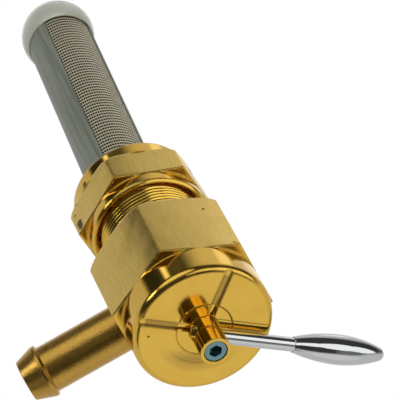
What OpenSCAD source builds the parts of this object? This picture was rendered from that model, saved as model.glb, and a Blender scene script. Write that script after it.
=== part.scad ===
// Fuel tap for a motorcycle tank: a hexagonal brass body with a hose nozzle,
// a double-threaded tank nut, a mesh screen that stands in the tank, and a
// lever that clicks into three radial grooves on the lower face.
// The origin is the centre of the nut's upper rim, with +Z up into the tank
// and the hose nozzle along -X.

/* [Tank thread] */
// Diameter of the thread on the neck, and of the tank's spigot
thread_d = 22; // [20:0.5:22.4]
// Depth of that thread
thread_depth = 0.5; // [0.3:0.05:0.7]
// Length of neck that shows between the body and the nut
neck_show = 10.1; // [6:0.1:14]
// Length of neck inside the nut
neck_in_nut = 7; // [4:0.1:9]

/* [Tank nut] */
// Width of the nut across its flats
nut_af = 25.6; // [25.5:0.1:30]
// Turn of the nut's hexagon against the body's, in degrees
nut_turn = -4.6; // [-30:0.1:30]
// Height of the nut's hexagon at the middle of a flat
nut_hex_h = 7.95; // [6:0.05:12]
// Wall of the round band above the hexagon
band_wall = 1.9; // [0.9:0.1:2]
// Height of that band
band_h = 3.3; // [2:0.05:5]
// Wall of the round collar below the hexagon
collar_wall = 1.7; // [1.6:0.1:1.7]
// Height of that collar
collar_h = 3.1; // [2.6:0.1:5]
// Step from the thread out to the wider bore in the collar's mouth
mouth_step = 0.95; // [0.2:0.05:0.95]
// Depth of that bore
mouth_depth = 2.5; // [0.6:0.1:3]
// Size of the bevel outside the collar's mouth
lip_bevel = 0.6; // [0.2:0.1:0.6]
// Size of the chamfer on the nut's upper rim
nut_chamfer = 0.15; // [0.1:0.05:0.6]

/* [Valve body] */
// Width of the body across its flats, and diameter of its round end
body_af = 28.8; // [27:0.1:34]
// Height of the body's hexagon
body_hex_h = 17.8; // [17:0.1:24]
// Height of the round end below the hexagon
body_round_h = 7.3; // [6:0.1:12]
// Radius of the rim round the lower face
rim_r = 1.4; // [0.5:0.1:2.5]
// Angle of the chamfer on each hexagon's upper corners, in degrees
corner_a = 37; // [34:1:45]
// Bulge of the turned corners, at the middle of their slope
corner_bulge = 0.4; // [0:0.05:0.4]
// Thickness of the floor that the stem passes through
floor_t = 6; // [5:0.1:7]
// Width of the shelf between the chamber and the wider bore above it
shelf_w = 0.8; // [0.6:0.1:1.2]

/* [Hose nozzle] */
// Height of the nozzle's axis above the hexagon's lower edge
nozzle_up = 5.85; // [5:0.05:8]
// Outer diameter of the nozzle's tube
nozzle_d = 9.7; // [9:0.1:10]
// Bore of the nozzle
nozzle_bore_d = 6.8; // [4:0.1:7]
// Diameter of the spigot that is pressed into the body
spigot_d = 8.2; // [7.8:0.1:8.6]
// Length of that spigot
spigot_l = 5; // [3:0.1:5.2]
// Distance from the valve's axis to the nozzle's tip
nozzle_reach = 36; // [30:0.1:46]
// Diameter of the barb's ridge
barb_d = 11.1; // [10.4:0.1:12]
// Length of the flat land on the ridge
barb_land = 0.6; // [0.3:0.1:1.2]
// Length of the cone in front of the ridge
barb_cone = 3.9; // [2:0.1:6]
// Diameter of the nozzle's tip
tip_d = 8.5; // [7.6:0.1:8.8]

/* [Rotor and stem] */
// Diameter of the stem
stem_d = 6.2; // [6:0.1:6.6]
// Length of stem that shows below the face
stem_out = 7.6; // [7.2:0.1:10]
// Thickness of the rotor's disc
rotor_t = 4; // [3:0.1:4.6]
// Diameter of the fuel ports
port_d = 2.5; // [1.6:0.1:2.6]
// Distance of each port from the valve's axis
port_r = 3.6; // [3.4:0.1:3.8]
// Thickness of the washer between the rotor and the spring
washer_t = 0.8; // [0.5:0.1:1.5]
// Diameter of that washer
washer_d = 12.4; // [11.6:0.1:13.6]

/* [Stem bush] */
// Diameter of the bush in the floor
bush_d = 11.4; // [10.4:0.1:12.4]
// Section of the ring that seals the stem
stem_ring = 1.4; // [1:0.1:1.6]
// Section of the ring on the rotor's rim
rotor_ring = 1.2; // [0.8:0.1:1.6]

/* [Detent] */
// Travel of the stem from its place in a groove to clear of the face
seat_travel = 0.7; // [0.6:0.05:1]
// Width of each groove in the face
groove_w = 1.9; // [1.4:0.05:2.4]
// Diameter of the spring, at the middle of its wire
spring_d = 9.6; // [8.4:0.1:10.4]
// Diameter of the spring's wire
wire_d = 0.9; // [0.6:0.1:1.2]
// Number of turns of the spring
spring_turns = 6.5; // [4:0.5:8]

/* [Lever] */
// Direction of the lever about the valve's axis, in degrees
lever_a = 43.5; // [0:0.5:90]
// Turn of the lever from there to its middle groove, in degrees
middle_turn = 87; // [80:1:100]
// Diameter of the lever's rod
rod_d = 2.9; // [2.4:0.1:3.1]
// Distance from the valve's axis to the grip
rod_reach = 18.7; // [16:0.1:25]
// Length of the grip
grip_l = 20.3; // [14:0.1:30]
// Distance from the grip's start to its thickest place
grip_swell = 10; // [6:0.1:12]
// Diameter of the grip at its thickest place
grip_d = 6.2; // [5:0.1:8]
// Diameter of the grip where it starts
grip_start_d = 3.2; // [3.1:0.1:4]
// Radius of the grip's round tip
grip_tip_r = 1.5; // [1.2:0.1:2]

/* [Set screw] */
// Diameter of the screw that clamps the lever
screw_d = 4.8; // [3:0.1:4.8]
// Depth of the screw's end below the stem's end
screw_in = 0.15; // [0:0.05:0.4]
// Width across the flats of the screw's socket
socket_af = 2.4; // [1.4:0.1:2.6]
// Depth of the socket
socket_depth = 2; // [1:0.1:2.4]

/* [Screen] */
// Outer diameter of the screen's tube
tube_d = 14.6; // [13.4:0.1:14.8]
// Wall of the tube
tube_wall = 0.35; // [0.25:0.05:0.5]
// Wall of the mesh sleeve inside it
mesh_t = 0.2; // [0.1:0.05:0.3]
// Height of the tube's top above the nut's rim
tube_top = 69; // [40:0.5:80]
// Lean of the screen towards +X, in degrees
lean_a = 2.1; // [0:0.1:2.4]
// Distance of the screen's foot from the valve's axis, towards -X
screen_shift = 1.35; // [0:0.05:1.4]
// Arc of each window in the tube, in degrees
window_a = 90; // [50:1:120]
// Direction of the first window's middle, in degrees
window_mid = -53; // [-90:1:90]
// Radius of the cap's ball
cap_r = 8.2; // [8.1:0.1:9]
// Height of the tube's top above the middle of that ball
cap_over = 2.6; // [1:0.1:2.8]
// Distance from the middle of the ball down to the cap's lip
cap_skirt = 3.3; // [2:0.1:3.3]
// Wall of the cap's dome
cap_wall = 1.3; // [0.8:0.1:1.6]
// Height of the ferrule that holds the screen
ferrule_h = 11; // [8:0.1:12]
// Depth of the ferrule's top below the neck's end
ferrule_drop = 2.2; // [1:0.1:3]
// Wall of the ferrule at its thinnest, beside the tube's foot
ferrule_wall = 0.4; // [0.3:0.1:0.6]
// Height of the ledge in the ferrule that the tube stands on
ledge_h = 2.5; // [1.5:0.1:4]

/* [Inlet] */
// Thickness of the plate with the two ports
plate_t = 2.5; // [1.5:0.1:3]
// Thickness of the rubber seal below it
seal_t = 1.5; // [1:0.1:2]
// Outer diameter of the standpipe
pipe_d = 3.5; // [3.4:0.1:3.8]
// Height of the standpipe's top above the nut's rim
pipe_top = 22; // [10:0.5:30]
// Thickness of the gasket on the neck
gasket_t = 1.2; // [0.8:0.1:2]
// Gap between the gasket's bore and the screen's tube
gasket_gap = 0.25; // [0.1:0.05:0.5]

/* [Hidden] */
$fn = 96;

// Gap on each side of pieces that are pressed or laid together
slip = 0.02;
// Gap on each side of pieces that turn or slide in each other
run = 0.05;
// Overlap of a cutting solid past the face that it cuts
over = 1;
// Overlap of the nut's band with its hexagon, which is narrower at its flats
lap = 0.1;

// Levels along the axis, from the nut's rim down
z_band = -band_h;
z_collar = z_band - nut_hex_h;
z_nut = z_collar - collar_h;
z_neck = z_nut + neck_in_nut;
z_hex_top = z_nut - neck_show;
z_hex = z_hex_top - body_hex_h;
z_face = z_hex - body_round_h;
z_stem = z_face - stem_out;
z_nozzle = z_hex + nozzle_up;

// Levels inside the body, from the neck's end down
z_ferrule = z_neck - ferrule_drop - ferrule_h;
z_tube = z_ferrule + ledge_h;
z_plate = z_ferrule - plate_t;
z_shelf = z_plate - seal_t;
z_floor = z_face + floor_t;
z_rotor = z_shelf - run - seat_travel - rotor_t;
z_washer = z_rotor - slip - washer_t;

// The lever lies in a groove of its own radius when it is seated, and the
// groove's axis stands below the face by the height of the chord.
groove_r = rod_d / 2 + run;
groove_z = z_face - sqrt(pow(groove_r, 2) - pow(groove_w / 2, 2));
z_lever = groove_z - seat_travel;
detent_angles = [lever_a, lever_a - middle_turn, lever_a - 180];
// The rotor's port lies opposite the lever: open at the first and third stop
open_angle = lever_a + 180;
reserve_angle = lever_a;

thread_r = thread_d / 2;
root_r = thread_r - thread_depth;
body_r = body_af / 2;
tube_r = tube_d / 2;
seat_r = tube_r + screen_shift + ferrule_wall;
chamber_r = seat_r - shelf_w;
mesh_r = tube_r - tube_wall - slip;
mesh_bore_r = mesh_r - mesh_t;
tube_l = (tube_top - z_tube) / cos(lean_a);
cap_z = tube_l - cap_over;
stem_bore_r = stem_d / 2 + run;
stem_ring_r = stem_d / 2 + run + stem_ring / 2;
rotor_ring_r = chamber_r - run - rotor_ring / 2;
screw_top = z_lever - rod_d / 2 - slip;
screw_end = z_stem + screw_in;

// Radius of the circle whose arc rises by sag over the length half
function arc_r(half, sag) = (pow(half, 2) + pow(sag, 2)) / (2 * sag);

// A hexagonal prism from z0 to z1 whose upper corners are turned off by a
// cone that meets the flats at their middle
module chamfered_hex(af, z0, z1) {
    corner_r = af / 2 / cos(30);
    slope_w = corner_r - af / 2;
    drop = slope_w * tan(corner_a);
    intersection() {
        translate([0, 0, z0])
            rotate(30)
            cylinder(r = corner_r, h = z1 - z0, $fn = 6);
        rotate_extrude()
            polygon(concat(
                [[0, z0], [corner_r + over, z0], [corner_r + over, z1 - drop]],
                [for (i = [0 : 6])
                    let (t = i / 6, bow = 4 * corner_bulge * t * (1 - t))
                    [
                        corner_r - slope_w * t + bow * sin(corner_a),
                        z1 - drop * (1 - t) + bow * cos(corner_a)
                    ]
                ],
                [[0, z1]]
            ));
    }
}

// A disc of radius r from z0 up to z1, chamfered at both edges
module chamfered_disc(r, z0, z1, low_c, high_c) {
    rotate_extrude()
        polygon([
            [0, z0], [r - low_c, z0], [r, z0 + low_c],
            [r, z1 - high_c], [r - high_c, z1], [0, z1]
        ]);
}

// A ring of radius r with a round section
module o_ring(r, section, z) {
    translate([0, 0, z])
        rotate_extrude()
        translate([r, 0])
        circle(d = section);
}

// The three radial grooves that the lever clicks into
module detent_grooves() {
    for (a = detent_angles)
        rotate(a)
        translate([0, 0, groove_z])
        rotate([0, 90, 0])
        cylinder(r = groove_r, h = body_r + over);
}

// Children drawn on the screen's own axis, from the tube's foot up
module on_screen_axis() {
    translate([-screen_shift, 0, z_tube])
        rotate([0, lean_a, 0])
        children();
}

// Children drawn along -X from the valve's axis, at the nozzle's height
module on_nozzle_axis() {
    translate([0, 0, z_nozzle])
        rotate([0, -90, 0])
        children();
}

module valve_body() {
    color("goldenrod")
    difference() {
        union() {
            chamfered_hex(body_af, z_hex, z_hex_top);
            rotate_extrude() {
                translate([0, z_face])
                    square([body_r - rim_r, z_hex - z_face]);
                translate([0, z_face + rim_r])
                    square([body_r, z_hex - z_face - rim_r + over / 2]);
                translate([body_r - rim_r, z_face + rim_r])
                    circle(r = rim_r);
            }
            chamfered_disc(root_r, z_hex_top - over, z_neck, 0, nut_chamfer);
        }
        // Bore for the ferrule, the port plate and the seal
        translate([0, 0, z_shelf])
            cylinder(r = seat_r, h = z_neck - z_shelf + over);
        // Rotor's chamber
        translate([0, 0, z_floor])
            cylinder(r = chamber_r, h = z_shelf - z_floor + over);
        // Hole for the stem's bush
        translate([0, 0, z_face - over])
            cylinder(r = bush_d / 2 + slip, h = floor_t + 2 * over);
        // Hole for the nozzle's spigot
        on_nozzle_axis()
            cylinder(r = spigot_d / 2 + slip, h = body_r + over);
        detent_grooves();
    }
}

module hose_nozzle() {
    ridge_end = nozzle_reach - barb_cone;
    ridge_start = ridge_end - barb_land;
    step = (barb_d - nozzle_d) / 2;
    tube_start = body_r + slip;
    color("darkgoldenrod")
    on_nozzle_axis()
    rotate_extrude()
        polygon([
            [nozzle_bore_d / 2, body_r - spigot_l], [spigot_d / 2, body_r - spigot_l],
            [spigot_d / 2, tube_start], [nozzle_d / 2, tube_start],
            [nozzle_d / 2, ridge_start - step / 2], [barb_d / 2, ridge_start],
            [barb_d / 2, ridge_end], [tip_d / 2, nozzle_reach],
            [nozzle_bore_d / 2, nozzle_reach]
        ]);
}

module tank_nut() {
    collar_r = thread_r + collar_wall;
    color("gold")
    difference() {
        union() {
            chamfered_disc(thread_r + band_wall, z_band - lap, 0, 0, nut_chamfer);
            rotate(nut_turn)
                chamfered_hex(nut_af, z_collar, z_band);
            chamfered_disc(collar_r, z_nut, z_collar + over, lip_bevel, 0);
        }
        translate([0, 0, z_nut - over])
            cylinder(r = thread_r, h = over - z_nut + over);
        // Wider bore in the collar's mouth, clear of the neck's thread
        translate([0, 0, z_nut - over])
            cylinder(r = thread_r + mouth_step, h = mouth_depth + over);
    }
}

module tank_gasket() {
    gasket_r = thread_r - 2 * run;
    // The tube has come back towards the axis by its lean at this level
    bore_r = tube_r + screen_shift - (z_neck - z_tube) * tan(lean_a) + gasket_gap;
    color("dimgray")
    translate([0, 0, z_neck + slip])
    difference() {
        cylinder(r = gasket_r, h = gasket_t);
        translate([0, 0, -over])
            cylinder(r = bore_r, h = gasket_t + 2 * over);
    }
}

module filter_ferrule() {
    color("goldenrod")
    difference() {
        translate([0, 0, z_ferrule])
            cylinder(r = seat_r - slip, h = ferrule_h);
        // Socket for the tube, bored at the screen's lean
        on_screen_axis()
            cylinder(r = tube_r + slip, h = ferrule_h + over);
        translate([-screen_shift, 0, z_ferrule - over])
            cylinder(r = mesh_bore_r, h = ledge_h + 2 * over);
    }
}

module filter_frame() {
    window_foot = ferrule_h - ledge_h + 1;
    window_head = tube_l - 1;
    color("gray")
    on_screen_axis()
    difference() {
        cylinder(r = tube_r, h = tube_l);
        translate([0, 0, -over])
            cylinder(r = tube_r - tube_wall, h = tube_l + 2 * over);
        for (a = [window_mid, window_mid + 180])
            rotate(a)
            translate([0, 0, window_foot])
            linear_extrude(window_head - window_foot)
            polygon([
                [0, 0], 2 * tube_r * [cos(window_a / 2), -sin(window_a / 2)],
                [3 * tube_r, 0], 2 * tube_r * [cos(window_a / 2), sin(window_a / 2)]
            ]);
    }
}

module filter_mesh() {
    mesh_l = tube_l - 2 * slip;
    color("silver")
    on_screen_axis()
    translate([0, 0, slip])
    difference() {
        cylinder(r = mesh_r, h = mesh_l);
        translate([0, 0, -over])
            cylinder(r = mesh_bore_r, h = mesh_l + 2 * over);
    }
}

module filter_cap() {
    color("gainsboro")
    on_screen_axis()
    translate([0, 0, cap_z])
    difference() {
        sphere(r = cap_r);
        translate([0, 0, -cap_skirt - cap_r])
            cylinder(r = cap_r + over, h = cap_r);
        translate([0, 0, -cap_r])
            cylinder(r = tube_r + slip, h = cap_r + cap_over + slip);
        sphere(r = cap_r - cap_wall);
    }
}

module standpipe() {
    pipe_l = pipe_top - z_plate;
    color("peru")
    rotate(open_angle)
    translate([port_r, 0, z_plate])
    difference() {
        cylinder(d = pipe_d, h = pipe_l);
        translate([0, 0, -over])
            cylinder(d = port_d, h = pipe_l + 2 * over);
    }
}

module port_plate() {
    color("goldenrod")
    difference() {
        translate([0, 0, z_plate])
            cylinder(r = seat_r - slip, h = plate_t);
        rotate(open_angle)
            translate([port_r, 0, z_plate - over])
            cylinder(r = pipe_d / 2 + slip, h = plate_t + 2 * over);
        rotate(reserve_angle)
            translate([port_r, 0, z_plate - over])
            cylinder(d = port_d, h = plate_t + 2 * over);
    }
}

module port_seal() {
    color("black")
    difference() {
        translate([0, 0, z_shelf])
            cylinder(r = seat_r - slip, h = seal_t);
        for (a = [open_angle, reserve_angle])
            rotate(a)
            translate([port_r, 0, z_shelf - over])
            cylinder(d = port_d, h = seal_t + 2 * over);
    }
}

module rotor() {
    rim_z = z_rotor + rotor_t / 2;
    groove_h = rotor_ring + 2 * run;
    color("goldenrod")
    difference() {
        union() {
            translate([0, 0, z_rotor])
                cylinder(r = chamber_r - 2 * run, h = rotor_t);
            translate([0, 0, z_stem])
                cylinder(d = stem_d, h = z_rotor - z_stem + over);
        }
        // Groove for the ring on the rim
        translate([0, 0, rim_z - groove_h / 2])
            rotate_extrude()
            translate([rotor_ring_r - rotor_ring / 2 - slip, 0])
            square([rotor_ring + over, groove_h]);
        // Fuel port, opposite the lever
        rotate(open_angle)
            translate([port_r, 0, z_rotor - washer_t])
            cylinder(d = port_d, h = rotor_t + washer_t + over);
        // Cross hole for the lever
        rotate(lever_a)
            translate([-stem_d, 0, z_lever])
            rotate([0, 90, 0])
            cylinder(r = rod_d / 2 + run, h = 2 * stem_d);
        // Threaded hole for the set screw
        translate([0, 0, z_stem - over])
            cylinder(r = screw_d / 2 + slip, h = z_lever - z_stem + over);
    }
}

module rotor_ring_seal() {
    color("black")
    o_ring(rotor_ring_r, rotor_ring, z_rotor + rotor_t / 2);
}

module thrust_washer() {
    color("silver")
    difference() {
        translate([0, 0, z_washer])
            cylinder(d = washer_d, h = washer_t);
        translate([0, 0, z_washer - over])
            cylinder(r = stem_bore_r, h = washer_t + 2 * over);
        // Slot that lets fuel through to the chamber at every stop
        for (a = detent_angles)
            rotate(a + 180)
            translate([port_r, 0, z_washer - over])
            cylinder(r = port_d / 2, h = washer_t + 2 * over);
    }
}

// Height of the wire's middle above the floor after a number of turns. The
// first and the last turn lie closed, and the rest share what is left.
closed_pitch = wire_d * 1.05;
spring_h = z_washer - slip - z_floor - slip;
open_pitch = (spring_h - wire_d - 2 * closed_pitch) / (spring_turns - 2);
function wire_z(u) = wire_d / 2
    + closed_pitch * min(u, 1)
    + open_pitch * max(0, min(u - 1, spring_turns - 2))
    + closed_pitch * max(0, u - spring_turns + 1);

module detent_spring() {
    sides = 8;
    steps_per_turn = 20;
    steps = spring_turns * steps_per_turn;
    points = [
        for (i = [0:steps], k = [0:sides - 1])
            let (
                t = i * 360 / steps_per_turn,
                s = k * 360 / sides,
                r = spring_d / 2 + wire_d / 2 * cos(s)
            )
            [r * cos(t), r * sin(t), wire_z(i / steps_per_turn) + wire_d / 2 * sin(s)]
    ];
    walls = [
        for (i = [0:steps - 1], k = [0:sides - 1])
            let (a = i * sides + k, b = i * sides + (k + 1) % sides)
            [a, b, b + sides, a + sides]
    ];
    first_end = [for (k = [0:sides - 1]) sides - 1 - k];
    last_end = [for (k = [0:sides - 1]) steps * sides + k];
    color("silver")
    translate([0, 0, z_floor + slip])
        polyhedron(points = points, faces = concat([first_end], walls, [last_end]), convexity = 10);
}

module stem_bush() {
    edge = 0.12;
    ring_h = stem_ring + 2 * run;
    color("gold")
    difference() {
        chamfered_disc(bush_d / 2, z_face, z_floor, edge, edge);
        translate([0, 0, z_face - over])
            cylinder(r = stem_bore_r, h = floor_t + 2 * over);
        // Groove for the stem's ring
        translate([0, 0, z_face + (floor_t - ring_h) / 2])
            cylinder(r = stem_ring_r + stem_ring / 2 + slip, h = ring_h);
        detent_grooves();
    }
}

module stem_ring_seal() {
    color("black")
    o_ring(stem_ring_r, stem_ring, z_face + floor_t / 2);
}

module lever() {
    grip_r = grip_d / 2;
    start_r = grip_start_d / 2;
    swell = rod_reach + grip_swell;
    tip = rod_reach + grip_l;
    // The back arc meets the round tip where the tip is nine tenths as wide
    join_r = grip_tip_r * 0.9;
    join = tip - grip_tip_r + sqrt(pow(grip_tip_r, 2) - pow(join_r, 2));
    front_arc = arc_r(grip_swell, grip_r - start_r);
    back_arc = arc_r(join - swell, grip_r - join_r);
    rod_end = stem_d / 2 - 0.9;
    color("whitesmoke")
    rotate(lever_a)
    translate([0, 0, z_lever])
    rotate([0, 90, 0])
    rotate_extrude() {
        translate([0, -rod_end])
            square([rod_d / 2, rod_end + rod_reach + over]);
        intersection() {
            translate([grip_r - front_arc, swell])
                circle(r = front_arc, $fn = 360);
            translate([0, rod_reach])
                square([grip_r, grip_swell]);
        }
        intersection() {
            translate([grip_r - back_arc, swell])
                circle(r = back_arc, $fn = 360);
            translate([0, swell])
                square([grip_r, join - swell]);
        }
        intersection() {
            translate([0, tip - grip_tip_r])
                circle(r = grip_tip_r);
            translate([0, join])
                square([grip_r, grip_tip_r]);
        }
    }
}

module set_screw() {
    point = 0.4;
    color("lightsteelblue")
    difference() {
        chamfered_disc(screw_d / 2, screw_end, screw_top, point / 2, point);
        translate([0, 0, screw_end - over])
            cylinder(r = socket_af / 2 / cos(30), h = socket_depth + over, $fn = 6);
    }
}

valve_body();
hose_nozzle();
tank_nut();
tank_gasket();
filter_ferrule();
filter_frame();
filter_mesh();
filter_cap();
standpipe();
port_plate();
port_seal();
rotor();
rotor_ring_seal();
thrust_washer();
detent_spring();
stem_bush();
stem_ring_seal();
lever();
set_screw();
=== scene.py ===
"""Looks, light and camera for a brass fuel tap with a mesh screen, a barbed nozzle and a lever."""

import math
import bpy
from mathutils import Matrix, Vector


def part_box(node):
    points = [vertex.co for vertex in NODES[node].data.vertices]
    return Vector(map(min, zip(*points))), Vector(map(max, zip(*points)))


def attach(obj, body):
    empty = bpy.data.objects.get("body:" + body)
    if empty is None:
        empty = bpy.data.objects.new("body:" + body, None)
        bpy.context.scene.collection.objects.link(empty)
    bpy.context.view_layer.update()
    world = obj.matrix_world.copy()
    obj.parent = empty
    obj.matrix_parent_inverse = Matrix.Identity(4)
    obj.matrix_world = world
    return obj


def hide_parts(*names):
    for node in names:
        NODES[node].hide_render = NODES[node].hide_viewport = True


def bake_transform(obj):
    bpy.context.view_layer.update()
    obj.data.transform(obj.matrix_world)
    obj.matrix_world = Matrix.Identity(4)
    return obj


bl_info = {
    "name": "Brass fuel tap",
    "version": (1, 0, 0),
    "blender": (4, 5, 0),
    "location": "View3D > Sidebar > Fuel Tap",
    "description": "Gives the packed fuel tap its finishes, threads, woven screen, studio and camera",
    "category": "Object",
}

import bmesh
import bpy
from bpy.props import FloatProperty, FloatVectorProperty, PointerProperty
from mathutils import Matrix, Vector

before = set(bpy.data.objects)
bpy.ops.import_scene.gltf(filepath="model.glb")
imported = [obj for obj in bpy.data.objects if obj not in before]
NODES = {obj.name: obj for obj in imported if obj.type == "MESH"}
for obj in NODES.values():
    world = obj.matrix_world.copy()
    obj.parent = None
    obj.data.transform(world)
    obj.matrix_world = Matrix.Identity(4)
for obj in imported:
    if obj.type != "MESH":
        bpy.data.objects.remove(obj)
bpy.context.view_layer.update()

MM = 0.001


def linear(hex_code):
    """Turns an sRGB hex colour such as #C8A04A into linear RGBA."""
    shares = [int(hex_code[i:i + 2], 16) / 255 for i in (1, 3, 5)]
    return [c / 12.92 if c <= 0.04045 else ((c + 0.055) / 1.055) ** 2.4 for c in shares] + [1.0]


def colour(name, description, hex_code):
    """A colour property with its default given as sRGB hex."""
    return FloatVectorProperty(
        name=name,
        description=description,
        default=linear(hex_code),
        subtype="COLOR",
        size=4,
        min=0,
        max=1,
    )


def length(name, description, millimetres):
    """A length property with its default given in millimetres."""
    return FloatProperty(
        name=name,
        description=description,
        default=millimetres * MM,
        unit="LENGTH",
        min=0,
        precision=5,
    )


class TapSizes(bpy.types.PropertyGroup):
    """Sizes of the detail that the scene adds to the tap."""

    thread_pitch: length("Thread pitch", "Distance from one turn of the tank thread to the next", 1.0)
    thread_depth: length("Thread depth", "Height of the thread's ridge over its root", 0.46)
    edge: length("Edge break", "Radius to which machined edges are broken", 0.7)
    lay_gap: length("Turning marks", "Distance between the fine marks that a lathe leaves", 0.12)
    grain_gap: length("Bar grain", "Width of the drawn grain on the hexagons' flats", 0.15)
    rib_gap: length("Mesh ribs", "Distance between the mesh's thick wires round the screen", 1.08)
    rib_r: length("Rib radius", "Half the width of the mesh's thick wires", 0.25)
    wire_gap: length("Mesh wires", "Distance between the mesh's thin wires along the screen", 0.52)
    wire_r: length("Wire radius", "Half the width of the mesh's thin wires", 0.07)


class TapColours(bpy.types.PropertyGroup):
    """Colours of the tap's finishes and of its studio."""

    brass: colour("Brass", "Polished yellow brass", "#E9C158")
    brass_deep: colour("Brass, darker", "Brass where its polish has dulled a little", "#DCAE45")
    brass_nozzle: colour("Nozzle brass", "Dull mottled brass of the nozzle", "#D0AA50")
    brass_nozzle_deep: colour("Brass, nozzle, darker", "Mottle of the satin nozzle", "#B98F40")
    brass_satin: colour("Satin brass", "Drawn brass on the hexagons' flats", "#E0C066")
    # This brown also paints the shade in the face's milled grooves
    brass_stain_and_groove_shade: colour("Brass stain", "Brown spots where fuel has marked the brass", "#4E4334")
    chrome: colour("Chrome", "Chrome plate on the lever", "#CED1CF")
    zinc: colour("Blue zinc", "Blue zinc plate on the set screw", "#6F9092")
    steel: colour("Steel", "Stainless steel of springs and washers", "#9C9C96")
    tube: colour("Tube", "Dull plated tube of the screen", "#787D71")
    tube_deep: colour("Tube, darker", "Drawing streaks along the tube", "#5C6055")
    wire: colour("Mesh wire", "Woven wire of the screen, a little tinted by fuel", "#D9D1B5")
    cap: colour("Cap", "Translucent moulded cap of the screen", "#9CA092")
    # The rubber's black also paints the shade inside the screen, on the sleeve between the wires
    rubber_and_painted_shade: colour("Rubber", "Black seals and gasket", "#16150F")
    floor: colour("Floor", "Pale studio floor", "#F4F4F2")


def add(tree, kind, inputs=None, **settings):
    """Adds a node with its settings, and fills its sockets with values or links."""
    node = tree.nodes.new(kind)
    for name, value in settings.items():
        setattr(node, name, value)
    for name, value in (inputs or {}).items():
        if isinstance(value, bpy.types.NodeSocket):
            tree.links.new(value, node.inputs[name])
        else:
            node.inputs[name].default_value = value
    return node


def new_finish(name):
    """An empty node material with its shader wired to the output."""
    material = bpy.data.materials.new(name)
    material.use_nodes = True
    tree = material.node_tree
    tree.nodes.clear()
    shader = add(tree, "ShaderNodeBsdfPrincipled")
    add(tree, "ShaderNodeOutputMaterial", {"Surface": shader.outputs["BSDF"]})
    return material, tree, shader


def middle(node_name):
    """The middle of a CAD node's box."""
    low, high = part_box(node_name)
    return (low + high) / 2


def dress(node_name, material):
    """Gives a CAD node its finish."""
    slots = NODES[node_name].data.materials
    slots.clear()
    slots.append(material)


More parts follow.
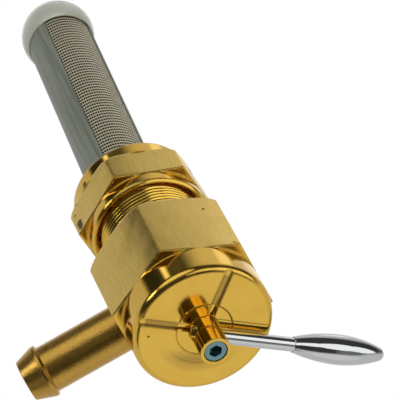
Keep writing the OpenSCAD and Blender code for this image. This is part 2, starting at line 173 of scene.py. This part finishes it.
def turned_brass(name, axis="Z", roughness=0.1, lay=0.006, mottle=0, edge=1.0, flats=None, stains=(), face=None):
    """Polished brass off the lathe. A satin grain covers the hexagon's flats, and stains dull it."""
    look = bpy.context.scene.tap_colours
    light, deep = (look.brass_nozzle, look.brass_nozzle_deep) if mottle else (look.brass, look.brass_deep)
    sizes = bpy.context.scene.tap_sizes
    material, tree, shader = new_finish(name)
    shader.inputs["Metallic"].default_value = 1.0
    place = add(tree, "ShaderNodeTexCoord").outputs["Object"]
    parts = add(tree, "ShaderNodeSeparateXYZ", {"Vector": place}).outputs
    # Rings round the axis, so that the marks run as a lathe's tool does
    if axis == "Z":
        across = add(tree, "ShaderNodeCombineXYZ", {"X": parts["X"], "Y": parts["Y"]}).outputs[0]
        along = parts["Z"]
    else:
        height = add(
            tree, "ShaderNodeMath", {0: parts["Z"], 1: middle("hose_nozzle").z}, operation="SUBTRACT"
        ).outputs[0]
        across = add(tree, "ShaderNodeCombineXYZ", {"X": height, "Y": parts["Y"]}).outputs[0]
        along = parts["X"]
    radius = add(tree, "ShaderNodeVectorMath", {0: across}, operation="LENGTH").outputs["Value"]
    rings = add(tree, "ShaderNodeCombineXYZ", {"X": radius, "Y": along}).outputs[0]
    marks = add(
        tree,
        "ShaderNodeTexNoise",
        {"Vector": rings, "Scale": 0.5 / sizes.lay_gap, "Detail": 3.0, "Roughness": 0.6},
    ).outputs["Fac"]
    relief = add(tree, "ShaderNodeMath", {0: marks, 1: lay * MM}, operation="MULTIPLY").outputs[0]
    cloud = add(
        tree,
        "ShaderNodeTexNoise",
        {"Vector": place, "Scale": 1 / (5 * MM), "Detail": 4.0, "Roughness": 0.55},
    ).outputs["Fac"]
    # Machined edges are slightly broken, so that each draws a thin line of light
    rounded = add(tree, "ShaderNodeBevel", {"Radius": sizes.edge * edge}, samples=6).outputs[0]
    tone = add(
        tree, "ShaderNodeMix", {0: cloud, 6: light, 7: deep}, data_type="RGBA"
    ).outputs[2]
    rough = add(
        tree, "ShaderNodeMapRange", {"Value": marks, "To Min": roughness * 0.6, "To Max": roughness * 1.4}
    ).outputs["Result"]
    if mottle:
        # Tumbling leaves a fine mottle in place of the turning marks' shine
        pits = add(
            tree, "ShaderNodeTexNoise", {"Vector": place, "Scale": 1 / (0.35 * MM), "Detail": 3.0}
        ).outputs["Fac"]
        relief = add(
            tree, "ShaderNodeMath", {0: pits, 1: mottle * MM, 2: relief}, operation="MULTIPLY_ADD"
        ).outputs[0]
        speckle = add(
            tree, "ShaderNodeMapRange", {"Value": pits, "From Min": 0.35, "From Max": 0.65, "To Max": 0.6}
        ).outputs["Result"]
        tone = add(tree, "ShaderNodeMix", {0: speckle, 6: tone, 7: deep}, data_type="RGBA").outputs[2]
    if flats:
        low, high, inner, turn = flats
        # The flats are the upright faces whose direction is a whole number of sixths of a turn,
        # between two levels and outside a radius
        geometry = add(tree, "ShaderNodeNewGeometry").outputs
        normal = add(tree, "ShaderNodeSeparateXYZ", {0: geometry["True Normal"]}).outputs
        upright = add(tree, "ShaderNodeMath", {0: normal["Z"], 1: 0.0, 2: 0.05}, operation="COMPARE").outputs[0]
        facing = add(tree, "ShaderNodeMath", {0: normal["Y"], 1: normal["X"]}, operation="ARCTAN2").outputs[0]
        sixths = add(
            tree, "ShaderNodeMath", {0: facing, 1: 6.0, 2: -6 * turn}, operation="MULTIPLY_ADD"
        ).outputs[0]
        near = add(tree, "ShaderNodeMath", {0: sixths}, operation="COSINE").outputs[0]
        straight = add(tree, "ShaderNodeMath", {0: near, 1: 0.95}, operation="GREATER_THAN").outputs[0]
        # An edge broken by polishing is bright and not satin
        level = add(
            tree,
            "ShaderNodeVectorMath",
            {0: rounded, 1: geometry["True Normal"]},
            operation="DOT_PRODUCT",
        ).outputs["Value"]
        upright = add(tree, "ShaderNodeMath", {0: upright, 1: straight}, operation="MULTIPLY").outputs[0]
        for value, bound, kind in (
            (parts["Z"], low, "GREATER_THAN"),
            (parts["Z"], high, "LESS_THAN"),
            (radius, inner, "GREATER_THAN"),
            (level, 0.99, "GREATER_THAN"),
        ):
            test = add(tree, "ShaderNodeMath", {0: value, 1: bound}, operation=kind).outputs[0]
            upright = add(tree, "ShaderNodeMath", {0: upright, 1: test}, operation="MULTIPLY").outputs[0]
        grain_place = add(
            tree,
            "ShaderNodeMapping",
            {"Vector": place, "Rotation": (0.5, 0.35, 0.0), "Scale": (1.0, 1.0, 0.08)},
        ).outputs[0]
        grain = add(
            tree,
            "ShaderNodeTexNoise",
            {"Vector": grain_place, "Scale": 0.5 / sizes.grain_gap, "Detail": 5.0, "Roughness": 0.7},
        ).outputs["Fac"]
        grain_rough = add(
            tree, "ShaderNodeMapRange", {"Value": grain, "From Min": 0.3, "From Max": 0.7, "To Min": 0.2, "To Max": 0.38}
        ).outputs["Result"]
        rough = add(tree, "ShaderNodeMix", {0: upright, 2: rough, 3: grain_rough}).outputs[0]
        share = add(
            tree, "ShaderNodeMapRange", {"Value": grain, "From Min": 0.3, "From Max": 0.7, "To Max": 0.15}
        ).outputs["Result"]
        grain_tone = add(
            tree, "ShaderNodeMix", {0: share, 6: look.brass_satin, 7: look.brass_deep}, data_type="RGBA"
        ).outputs[2]
        tone = add(tree, "ShaderNodeMix", {0: upright, 6: tone, 7: grain_tone}, data_type="RGBA").outputs[2]
        # Polishing leaves a flat a little wavy, and rounded towards its corners
        wave = add(
            tree, "ShaderNodeTexNoise", {"Vector": place, "Scale": 1 / (9 * MM), "Detail": 1.0}
        ).outputs["Fac"]
        fine = add(tree, "ShaderNodeMath", {0: grain, 1: 0.0022 * MM}, operation="MULTIPLY").outputs[0]
        uneven = add(
            tree, "ShaderNodeMath", {0: wave, 1: 0.3 * MM, 2: fine}, operation="MULTIPLY_ADD"
        ).outputs[0]
        squared = add(tree, "ShaderNodeMath", {0: radius, 1: radius}, operation="MULTIPLY").outputs[0]
        dubbed = add(
            tree, "ShaderNodeMath", {0: squared, 1: -FLAT_DUBBING, 2: uneven}, operation="MULTIPLY_ADD"
        ).outputs[0]
        relief = add(tree, "ShaderNodeMix", {0: upright, 2: relief, 3: dubbed}).outputs[0]
    if face:
        seam_r, scuff_r, face_z = face
        on_face = add(tree, "ShaderNodeMath", {0: parts["Z"], 1: face_z}, operation="LESS_THAN").outputs[0]
        # A thin dark joint shows where the bush is pressed in
        joint = add(
            tree, "ShaderNodeMath", {0: radius, 1: seam_r, 2: 0.07 * MM}, operation="COMPARE"
        ).outputs[0]
        # It is rubbed shut on the side where the lever's hub has worn the face
        wide = add(
            tree, "ShaderNodeVectorMath", {0: place, 1: Vector(SCUFF_SIDE)}, operation="DOT_PRODUCT"
        ).outputs["Value"]
        open_side = add(
            tree, "ShaderNodeMapRange", {"Value": wide, "From Min": 0.1 * seam_r, "From Max": -0.3 * seam_r}
        ).outputs["Result"]
        joint = add(tree, "ShaderNodeMath", {0: joint, 1: on_face}, operation="MULTIPLY").outputs[0]
        joint = add(tree, "ShaderNodeMath", {0: joint, 1: open_side}, operation="MULTIPLY").outputs[0]
        tone = add(
            tree, "ShaderNodeMix", {0: joint, 6: tone, 7: look.brass_stain_and_groove_shade}, data_type="RGBA"
        ).outputs[2]
        # The grooves are milled and duller than the turned face: rougher, and darkened towards the stain's brown
        # as painted shade in the channels
        groove = on_face
        for value, bound, kind in (
            (parts["Z"], face_z + GROOVE_DEPTH, "LESS_THAN"),
            (radius, GROOVE_ENDS[0], "GREATER_THAN"),
            (radius, GROOVE_ENDS[1], "LESS_THAN"),
        ):
            test = add(tree, "ShaderNodeMath", {0: value, 1: bound}, operation=kind).outputs[0]
            if groove is on_face:
                groove = add(tree, "ShaderNodeMath", {0: test, 1: on_face}, operation="SUBTRACT").outputs[0]
            else:
                groove = add(tree, "ShaderNodeMath", {0: groove, 1: test}, operation="MULTIPLY").outputs[0]
        groove_painted_shade = add(tree, "ShaderNodeMath", {0: groove, 1: 0.4}, operation="MULTIPLY").outputs[0]
        tone = add(
            tree, "ShaderNodeMix", {0: groove_painted_shade, 6: tone, 7: look.brass_stain_and_groove_shade}, data_type="RGBA"
        ).outputs[2]
        rough = add(tree, "ShaderNodeMix", {0: groove, 2: rough, 3: 0.25}).outputs[0]
        # The lever's hub has rubbed faint rings into one side of the face
        sideways = add(
            tree, "ShaderNodeMapRange", {"Value": wide, "From Min": 0.55 * scuff_r, "From Max": 0.9 * scuff_r}
        ).outputs["Result"]
        near_ring = add(
            tree,
            "ShaderNodeMapRange",
            {"Value": radius, "From Min": scuff_r * 1.35, "From Max": scuff_r, "To Max": 0.95},
        ).outputs["Result"]
        scratch = add(
            tree, "ShaderNodeTexNoise", {"Vector": rings, "Scale": 1 / (0.5 * MM), "Detail": 2.0}
        ).outputs["Fac"]
        scuff = add(tree, "ShaderNodeMath", {0: near_ring, 1: sideways}, operation="MULTIPLY").outputs[0]
        scuff = add(tree, "ShaderNodeMath", {0: scuff, 1: scratch}, operation="MULTIPLY").outputs[0]
        scuff = add(tree, "ShaderNodeMath", {0: scuff, 1: on_face}, operation="MULTIPLY").outputs[0]
        tone = add(
            tree, "ShaderNodeMix", {0: scuff, 6: tone, 7: look.brass_stain_and_groove_shade}, data_type="RGBA"
        ).outputs[2]
    if stains:
        # Each stain is a blot with a ragged rim
        ragged = add(
            tree,
            "ShaderNodeTexNoise",
            {"Vector": place, "Scale": 1 / (0.5 * MM), "Detail": 2.0},
        ).outputs["Color"]
        shifted = add(
            tree,
            "ShaderNodeVectorMath",
            {0: ragged, 1: (0.7 * MM,) * 3, 2: place},
            operation="MULTIPLY_ADD",
        ).outputs[0]
        blot = 0.0
        for centre, size in stains:
            # The noise is 0.5 on average, so it moves the place by 0.35 mm along each axis
            target = Vector(centre) + Vector((0.35, 0.35, 0.35))
            gap = add(
                tree, "ShaderNodeVectorMath", {0: shifted, 1: target * MM}, operation="DISTANCE"
            ).outputs["Value"]
            spot = add(
                tree,
                "ShaderNodeMapRange",
                {"Value": gap, "From Min": size * 1.15 * MM, "From Max": size * 0.85 * MM},
                interpolation_type="SMOOTHSTEP",
            ).outputs["Result"]
            blot = add(tree, "ShaderNodeMath", {0: spot, 1: blot}, operation="MAXIMUM").outputs[0]
        worn = add(tree, "ShaderNodeMath", {0: blot, 1: 0.85}, operation="MULTIPLY").outputs[0]
        tone = add(
            tree, "ShaderNodeMix", {0: worn, 6: tone, 7: look.brass_stain_and_groove_shade}, data_type="RGBA"
        ).outputs[2]
        rough = add(tree, "ShaderNodeMix", {0: blot, 2: rough, 3: 0.6}).outputs[0]
    shade = add(tree, "ShaderNodeBump", {"Height": relief, "Strength": 1.0, "Distance": 1.0, "Normal": rounded})
    tree.links.new(tone, shader.inputs["Base Color"])
    tree.links.new(rough, shader.inputs["Roughness"])
    tree.links.new(shade.outputs["Normal"], shader.inputs["Normal"])
    return material


def plain_metal(name, tint, roughness, metallic=1.0):
    """A plain metal with a little cloudiness in its gloss."""
    material, tree, shader = new_finish(name)
    place = add(tree, "ShaderNodeTexCoord").outputs["Object"]
    cloud = add(
        tree,
        "ShaderNodeTexNoise",
        {"Vector": place, "Scale": 1 / (2 * MM), "Detail": 4.0},
    ).outputs["Fac"]
    rough = add(
        tree,
        "ShaderNodeMapRange",
        {"Value": cloud, "To Min": roughness * 0.8, "To Max": roughness * 1.3},
    ).outputs["Result"]
    tree.links.new(rough, shader.inputs["Roughness"])
    shader.inputs["Base Color"].default_value = tint
    shader.inputs["Metallic"].default_value = metallic
    return material


def add_wire(bm, path, side_of, half):
    """Sweeps a flat four-sided wire along points. side_of gives the sideways direction at each of them."""
    rows = []
    for place in path:
        out = Vector((place.x, place.y, 0)).normalized()
        side = side_of(out)
        ways = (out * WIRE_RISE, side * half, -out * WIRE_RISE, -side * half)
        rows.append([bm.verts.new(place + way) for way in ways])
    for a, b in zip(rows, rows[1:]):
        for k in range(4):
            face = bm.faces.new([a[k], b[k], b[(k + 1) % 4], a[(k + 1) % 4]])
            face.smooth = True


def woven_window(bm, middle_angle, low, high, sizes, steps=2):
    """Weaves thin lengthwise wires over thick rings in one window of the tube, in the tube's own frame."""
    span = 2 * SCREEN_WINDOW_HALF
    wires = int(SLEEVE_R * span / sizes.wire_gap)
    rings = int((high - low) / sizes.rib_gap)
    up = Vector((0, 0, 1))

    def point(i, k, lift):
        """A point at wire i and ring k, lifted off the sleeve."""
        angle = middle_angle - SCREEN_WINDOW_HALF + span * i / wires
        r = SLEEVE_R + lift
        return Vector((r * math.cos(angle), r * math.sin(angle), low + (high - low) * k / rings))

    for i in range(wires + 1):
        path = [
            point(i, k / steps, 0.0)
            for k in range(rings * steps + 1)
        ]
        add_wire(bm, path, lambda out: up.cross(out), sizes.wire_r)
    for k in range(rings + 1):
        path = [point(i / 2, k, WIRE_RISE / 2) for i in range(wires * 2 + 1)]
        add_wire(bm, path, lambda out: up, sizes.rib_r)


def streaked_tube(name, tint, deep):
    """A dull plated tube with long drawing streaks."""
    material, tree, shader = new_finish(name)
    place = add(tree, "ShaderNodeTexCoord").outputs["Object"]
    drawn = add(tree, "ShaderNodeMapping", {"Vector": place, "Scale": (1.0, 1.0, 0.02)}).outputs[0]
    streaks = add(
        tree, "ShaderNodeTexNoise", {"Vector": drawn, "Scale": 1 / (0.7 * MM), "Detail": 5.0, "Roughness": 0.65}
    ).outputs["Fac"]
    rough = add(
        tree, "ShaderNodeMapRange", {"Value": streaks, "To Min": 0.3, "To Max": 0.55}
    ).outputs["Result"]
    share = add(
        tree, "ShaderNodeMapRange", {"Value": streaks, "From Min": 0.35, "From Max": 0.65}
    ).outputs["Result"]
    tone = add(tree, "ShaderNodeMix", {0: share, 6: deep, 7: tint}, data_type="RGBA").outputs[2]
    tree.links.new(tone, shader.inputs["Base Color"])
    shade = add(tree, "ShaderNodeBump", {"Height": streaks, "Strength": 0.35, "Distance": 0.05 * MM})
    tree.links.new(rough, shader.inputs["Roughness"])
    tree.links.new(shade.outputs["Normal"], shader.inputs["Normal"])
    shader.inputs["Metallic"].default_value = 0.45
    return material


def mesh_object(name, bm, material, body):
    """Makes an object from a bmesh, with its finish, on its CAD body."""
    mesh = bpy.data.meshes.new(name)
    bm.to_mesh(mesh)
    bm.free()
    mesh.materials.append(material)
    piece = bpy.data.objects.new(name, mesh)
    bpy.context.scene.collection.objects.link(piece)
    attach(piece, body)
    return piece


def helix_ridge(root, crest, pitch, low, high, steps=96):
    """A thread's ridge as a bmesh: a rounded V swept up a helix, fading out at both ends."""
    bm = bmesh.new()
    turns = (high - low) / pitch
    count = int(turns * steps)
    sign = 1 if crest > root else -1
    base = root - sign * 0.05 * MM
    section = [(-0.46, 0.0), (-0.14, 0.86), (0.0, 1.0), (0.14, 0.86), (0.46, 0.0)]
    rows = []
    for i in range(count + 1):
        angle = math.tau * i / steps
        fade = min(1.0, i / (steps / 6), (count - i) / (steps / 6))
        row = []
        for side, rise in section:
            r = base + (crest - base) * rise * fade
            z = low + (high - low) * i / count + side * pitch
            row.append(bm.verts.new((r * math.cos(angle), r * math.sin(angle), z)))
        rows.append(row)
    for a, b in zip(rows, rows[1:]):
        for k in range(len(section) - 1):
            quad = [a[k], b[k], b[k + 1], a[k + 1]]
            face = bm.faces.new(quad if sign > 0 else quad[::-1])
            face.smooth = True
    return bm


class TAP_OT_stage(bpy.types.Operator):
    """Builds the pale floor, the soft studio light and the camera at the photo's viewing angle"""

    bl_idname = "tap.stage"
    bl_label = "Studio"

    def execute(self, context):
        scene = context.scene
        look = scene.tap_colours
        scene.view_settings.view_transform = "Standard"
        self.make_world(scene)
        self.make_floor(look)
        self.make_lamps(scene)
        self.make_camera(scene)
        return {"FINISHED"}

    def make_world(self, scene):
        """The room: pale on the table's side, dark above, with soft boxes. Behind the part it is white."""
        world = bpy.data.worlds.new("product_studio")
        scene.world = world
        world.use_nodes = True
        tree = world.node_tree
        tree.nodes.clear()
        way = add(tree, "ShaderNodeTexCoord").outputs["Generated"]
        height = add(
            tree, "ShaderNodeVectorMath", {0: way, 1: Vector(ROOM_UP).normalized()}, operation="DOT_PRODUCT"
        ).outputs["Value"]
        level = add(
            tree,
            "ShaderNodeMapRange",
            {"Value": height, "From Min": -0.15, "From Max": 0.15, "To Min": TABLE_LEVEL, "To Max": CEILING_LEVEL},
            interpolation_type="SMOOTHSTEP",
        ).outputs["Result"]
        for centre, inner, outer, value in STUDIO_PATCHES:
            facing = add(
                tree,
                "ShaderNodeVectorMath",
                {0: way, 1: Vector(centre).normalized()},
                operation="DOT_PRODUCT",
            ).outputs["Value"]
            share = add(
                tree,
                "ShaderNodeMapRange",
                {
                    "Value": facing,
                    "From Min": math.cos(math.radians(outer)),
                    "From Max": math.cos(math.radians(inner)),
                },
                interpolation_type="SMOOTHSTEP",
            ).outputs["Result"]
            level = add(tree, "ShaderNodeMix", {0: share, 2: level, 3: value}).outputs[0]
        rays = add(tree, "ShaderNodeLightPath").outputs
        clear = add(
            tree, "ShaderNodeMath", {0: rays["Is Camera Ray"], 1: rays["Is Transmission Ray"]}, operation="MAXIMUM"
        ).outputs[0]
        seen = add(tree, "ShaderNodeMix", {0: clear, 2: level, 3: 1.0}).outputs[0]
        background = add(tree, "ShaderNodeBackground", {"Color": (1.0, 1.0, 1.0, 1.0), "Strength": seen})
        add(tree, "ShaderNodeOutputWorld", {"Surface": background.outputs[0]})

    def make_floor(self, look):
        """A wide pale floor, so far down that the photo's low camera stays above it."""
        bm = bmesh.new()
        bmesh.ops.create_circle(bm, cap_ends=True, segments=64, radius=6)
        mesh = bpy.data.meshes.new("studio_floor")
        bm.to_mesh(mesh)
        bm.free()
        floor = bpy.data.objects.new("studio_floor", mesh)
        bpy.context.scene.collection.objects.link(floor)
        floor.location.z = -1.3
        material, tree, shader = new_finish("matt_floor_paint")
        shader.inputs["Base Color"].default_value = look.floor
        shader.inputs["Roughness"].default_value = 0.9
        white = add(tree, "ShaderNodeEmission", {"Color": (1.0, 1.0, 1.0, 1.0), "Strength": 1.0})
        rays = add(tree, "ShaderNodeLightPath").outputs
        clear = add(
            tree, "ShaderNodeMath", {0: rays["Is Camera Ray"], 1: rays["Is Transmission Ray"]}, operation="MAXIMUM"
        ).outputs[0]
        mixed = add(tree, "ShaderNodeMixShader", {0: clear, 1: shader.outputs[0], 2: white.outputs[0]})
        output = next(n for n in tree.nodes if n.type == "OUTPUT_MATERIAL")
        tree.links.new(mixed.outputs[0], output.inputs["Surface"])
        mesh.materials.append(material)
        # The metal mirrors the room itself, whose lower side is as pale as this floor
        floor.visible_glossy = False

    def make_lamps(self, scene):
        """Soft boxes round the part."""
        for name, place, size, power in SOFT_BOXES:
            lamp = bpy.data.lights.new(name, "AREA")
            lamp.shape = "RECTANGLE"
            lamp.size, lamp.size_y = size
            lamp.energy = power
            box = bpy.data.objects.new(name, lamp)
            scene.collection.objects.link(box)
            box.location = place
            box.visible_glossy = False
            box.rotation_mode = "QUATERNION"
            box.rotation_quaternion = (Vector(AIM) - box.location).to_track_quat("-Z", "Y")

    def make_camera(self, scene):
        """A long lens below the part, rolled as the photo is."""
        data = bpy.data.cameras.new("photo_camera")
        data.sensor_width = 36
        data.lens = CAMERA_LENS
        data.clip_start = 0.01
        data.clip_end = 20
        camera = bpy.data.objects.new("photo_camera", data)
        scene.collection.objects.link(camera)
        azimuth, elevation, roll = (math.radians(a) for a in CAMERA_ANGLES)
        back = Vector((
            math.sin(azimuth) * math.cos(elevation),
            -math.cos(azimuth) * math.cos(elevation),
            math.sin(elevation),
        ))
        right = Vector((math.cos(azimuth), math.sin(azimuth), 0))
        up = back.cross(right)
        turned_right = right * math.cos(roll) + up * math.sin(roll)
        turned_up = up * math.cos(roll) - right * math.sin(roll)
        turn = Matrix((turned_right, turned_up, back)).transposed()
        camera.matrix_world = Matrix.Translation(Vector(AIM) + back * CAMERA_DISTANCE) @ turn.to_4x4()
        scene.camera = camera


# Point that the camera looks at, in metres, and how far off it stands
AIM = (0.01167, -0.01430, -0.03135)
CAMERA_DISTANCE = 0.594
# Azimuth, elevation and roll of the camera, in degrees
CAMERA_ANGLES = (0.163, -52.738, -29.290)
CAMERA_LENS = 271.52

# The room's own upward direction in the part's frame, and its levels on both sides of that
ROOM_UP = (0.35, -0.92, -0.19)
TABLE_LEVEL = 0.68
CEILING_LEVEL = 0.05


def direction(azimuth, elevation):
    """A unit vector from an azimuth and an elevation in degrees."""
    a, e = math.radians(azimuth), math.radians(elevation)
    return (math.cos(a) * math.cos(e), math.sin(a) * math.cos(e), math.sin(e))


# Soft boxes and dark screens of the room: centre, inner and outer half angle in degrees, level
STUDIO_PATCHES = [
    (direction(90, 53), 24, 38, 1.0),
    (direction(-16, 53), 4, 34, 0.74),
    (direction(-160, 53), 12, 20, 0.62),
    (direction(-127, 53), 5, 11, 0.03),
    (direction(-82, 55), 5, 9, 0.1),
    (direction(-101, 53), 2, 3.5, 1.7),
    (direction(-2, 53), 4, 8, 1.2),
    (direction(100, 53), 6, 12, 0.2),
    ((0, 0.6, -0.8), 12, 25, 0.82),
    ((0, -1, 0.03), 23, 29, 1.1),
    ((0.779, -0.219, -0.584), 17, 21, 1.3),
    ((0.882, 0.073, -0.466), 15, 19, 1.3),
    ((0.55, -0.52, -0.65), 12, 16, 1.3),
    ((0, -0.66, -0.75), 16, 24, 0.08),
    ((0, -0.2, -0.98), 8, 16, 0.04),
    ((0.535, 0.03, -0.844), 2.5, 4.5, 0.03),
    ((-0.56, 0.24, -0.8), 10, 18, 0.05),
    ((0.56, 0.24, -0.8), 8, 16, 0.2),
    ((0.28, -0.55, -0.79), 4, 7, 1.6),
    ((-0.61, -0.79, 0.02), 7, 10, 5.0),
]

# Soft boxes that light the part without showing in its metal: name, place in metres, size, watts
SOFT_BOXES = [
    ("key_box", (0.55, -1.1, 0.1), (0.6, 0.6), 14),
    ("camera_side_box", (-0.2, -0.7, -0.9), (0.6, 0.6), 8),
]

# How much a flat falls off towards its corners, for each metre of the square of the way there
FLAT_DUBBING = 11.0

# Levels of the hexagons' flats along the axis, and the radius beyond which they lie, in metres
BODY_FLATS = (-42.15 * MM, -24.5 * MM, 14 * MM)
NUT_TURN = math.radians(-4.6)
NUT_FLATS = (-11.15 * MM, -3.4 * MM, 12.5 * MM)
# Neck of the body between its hexagon and the nut, and the radii of its thread's root and crest
NECK_LOW = -24.45 * MM
NECK_ROOT = 10.5 * MM
# Upper thread of the nut: its levels and its bore
NUT_THREAD = (-5.6 * MM, -0.9 * MM)
NUT_BORE = 11 * MM

# The screen's tube: where it stands, its lean, its windows along and round it, and its sleeve
SCREEN_FOOT = Vector((-1.35 * MM, 0, -18.05 * MM))
SCREEN_LEAN = math.radians(2.1)
SCREEN_WINDOW = (9.2 * MM, 86.3 * MM)
SCREEN_WINDOW_MIDDLE = math.radians(-53)
SCREEN_WINDOW_HALF = math.radians(46)
SLEEVE_R = 6.95 * MM
# Half the thickness of the mesh's flattened wires
WIRE_RISE = 0.03 * MM

# Marks on the body's end: radius of the bush's joint, radius of the rubbed rings and the level below
# which they lie. The side that the rings are on is a direction about the axis.
FACE_MARKS = (5.75 * MM, 7.6 * MM, -49.5 * MM)
SCUFF_SIDE = (-0.55, 0.83, 0)
# The milled grooves, where the brass is rougher and shade is painted: how deep they are, and between which radii
GROOVE_DEPTH = 2 * MM
GROOVE_ENDS = (6 * MM, 12.6 * MM)

# Stains on the nut and pits in the body: centre and radius in millimetres
NUT_STAINS = [
    ((-7.4, -10.4, -2.6), 0.62),
    ((-11.0, -7.9, -3.6), 0.3),
    ((-12.2, -7.1, -5.8), 0.3),
    ((-12.1, -7.2, -8.8), 0.85),
    ((-12.1, -7.1, -9.9), 0.8),
]
BODY_STAINS = [
    ((11.3, -10.1, -28.9), 0.3),
    ((13.5, -8.8, -41.4), 0.25),
    ((-10.1, -5.3, -49.55), 0.25),
]


class TAP_OT_brass(bpy.types.Operator):
    """Finishes the brass pieces: body, nozzle, nut, bush and stem"""

    bl_idname = "tap.brass"
    bl_label = "Brass pieces"

    def execute(self, context):
        body = turned_brass("polished_brass_body", flats=(*BODY_FLATS, 0.0), stains=BODY_STAINS, face=FACE_MARKS)
        nut = turned_brass("polished_brass_nut", flats=(*NUT_FLATS, NUT_TURN), stains=NUT_STAINS)
        nozzle = turned_brass("satin_brass_nozzle", "X", roughness=0.3, lay=0.01, mottle=0.05, edge=0.5)
        stem = turned_brass("polished_brass_stem", edge=0.35)
        for name, material in (
            ("valve_body", body),
            ("tank_nut", nut),
            ("hose_nozzle", nozzle),
            ("stem_bush", stem),
            ("rotor", stem),
            ("filter_ferrule", stem),
            ("port_plate", stem),
            ("standpipe", stem),
        ):
            dress(name, material)
        return {"FINISHED"}


class TAP_OT_threads(bpy.types.Operator):
    """Cuts the tank thread on the neck and inside the nut"""

    bl_idname = "tap.threads"
    bl_label = "Threads"

    def execute(self, context):
        sizes = context.scene.tap_sizes
        brass = turned_brass("thread_brass", roughness=0.12, edge=0.1)
        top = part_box("valve_body")[1].z
        neck = helix_ridge(NECK_ROOT, NECK_ROOT + sizes.thread_depth, sizes.thread_pitch, NECK_LOW, top)
        mesh_object("neck_thread", neck, brass, "tap")
        low, high = NUT_THREAD
        nut = helix_ridge(NUT_BORE, NUT_BORE - sizes.thread_depth, sizes.thread_pitch, low, high)
        mesh_object("nut_thread", nut, brass, "nut")
        return {"FINISHED"}


class TAP_OT_lever(bpy.types.Operator):
    """Finishes the chrome lever and its set screw"""

    bl_idname = "tap.lever"
    bl_label = "Lever and set screw"

    def execute(self, context):
        look = context.scene.tap_colours
        dress("lever", plain_metal("chrome_plate", look.chrome, 0.04))
        dress("set_screw", plain_metal("blue_zinc_plate", look.zinc, 0.12))
        return {"FINISHED"}


class TAP_OT_screen(bpy.types.Operator):
    """Finishes the screen: its tube, its woven mesh and its cap"""

    bl_idname = "tap.screen"
    bl_label = "Screen"

    def execute(self, context):
        look = context.scene.tap_colours
        dress("filter_frame", streaked_tube("dull_plated_tube", look.tube, look.tube_deep))
        # The imported sleeve is painted near black with the rubber colour: painted shade between the wires,
        # standing in for the dark inside of the screen
        dress("filter_mesh", plain_metal("painted_shade_under_wires", look.rubber_and_painted_shade, 0.5))
        self.weave(context)
        material, tree, shader = new_finish("translucent_cap")
        # A milky plastic: part of the light passes, the rest is scattered just under the skin
        shader.inputs["Base Color"].default_value = look.cap
        shader.inputs["Roughness"].default_value = 0.22
        shader.inputs["IOR"].default_value = 1.5
        shader.inputs["Transmission Weight"].default_value = 0.4
        shader.inputs["Subsurface Weight"].default_value = 0.5
        shader.inputs["Sheen Weight"].default_value = 0.4
        shader.inputs["Subsurface Scale"].default_value = 1.5 * MM
        dress("filter_cap", material)
        return {"FINISHED"}


    def weave(self, context):
        """Weaves the mesh in both windows of the tube, with coarser wires than the real ones."""
        sizes = context.scene.tap_sizes
        low, high = SCREEN_WINDOW
        bm = bmesh.new()
        for middle_angle in (SCREEN_WINDOW_MIDDLE, SCREEN_WINDOW_MIDDLE + math.pi):
            woven_window(bm, middle_angle, low, high, sizes)
        stand = Matrix.Translation(SCREEN_FOOT) @ Matrix.Rotation(SCREEN_LEAN, 4, "Y")
        bmesh.ops.transform(bm, matrix=stand, verts=bm.verts)
        wire = plain_metal("woven_steel_wire", context.scene.tap_colours.wire, 0.3, 0.8)
        mesh_object("woven_mesh", bm, wire, "tap")


class TAP_OT_insides(bpy.types.Operator):
    """Finishes the seals, the gasket, the washer and the spring"""

    bl_idname = "tap.insides"
    bl_label = "Seals and spring"

    def execute(self, context):
        look = context.scene.tap_colours
        material, tree, shader = new_finish("moulded_rubber")
        shader.inputs["Base Color"].default_value = look.rubber_and_painted_shade
        shader.inputs["Roughness"].default_value = 0.6
        for name in ("tank_gasket", "port_seal", "rotor_ring_seal", "stem_ring_seal"):
            dress(name, material)
        steel = plain_metal("drawn_spring_wire", look.steel, 0.3)
        dress("thrust_washer", steel)
        # The coil keeps the CAD's shape: a copy of the CAD spring in the steel finish, in place of the hidden CAD
        # node
        coil = bpy.data.objects.new("spring_coil", NODES["detent_spring"].data.copy())
        context.scene.collection.objects.link(coil)
        coil.data.materials.clear()
        coil.data.materials.append(steel)
        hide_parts("detent_spring")
        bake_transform(coil)
        return {"FINISHED"}


class TAP_PT_panel(bpy.types.Panel):
    """Lists the tap's settings and its steps"""

    bl_idname = "TAP_PT_panel"
    bl_label = "Fuel tap"
    bl_space_type = "VIEW_3D"
    bl_region_type = "UI"
    bl_category = "Fuel Tap"

    def draw(self, context):
        column = self.layout.column()
        for group in (context.scene.tap_sizes, context.scene.tap_colours):
            for name in group.__annotations__:
                column.prop(group, name)
        for step in STEPS:
            column.operator(step.bl_idname)


STEPS = (
    TAP_OT_stage,
    TAP_OT_brass,
    TAP_OT_threads,
    TAP_OT_screen,
    TAP_OT_lever,
    TAP_OT_insides,
)
CLASSES = (TapSizes, TapColours, *STEPS, TAP_PT_panel)


def register():
    for item in CLASSES:
        bpy.utils.register_class(item)
    bpy.types.Scene.tap_sizes = PointerProperty(type=TapSizes)
    bpy.types.Scene.tap_colours = PointerProperty(type=TapColours)


def unregister():
    del bpy.types.Scene.tap_colours
    del bpy.types.Scene.tap_sizes
    for item in reversed(CLASSES):
        bpy.utils.unregister_class(item)


def main():
    register()
    bpy.ops.tap.stage()
    bpy.ops.tap.brass()
    bpy.ops.tap.threads()
    bpy.ops.tap.screen()
    bpy.ops.tap.lever()
    bpy.ops.tap.insides()


if __name__ == "__main__":
    main()
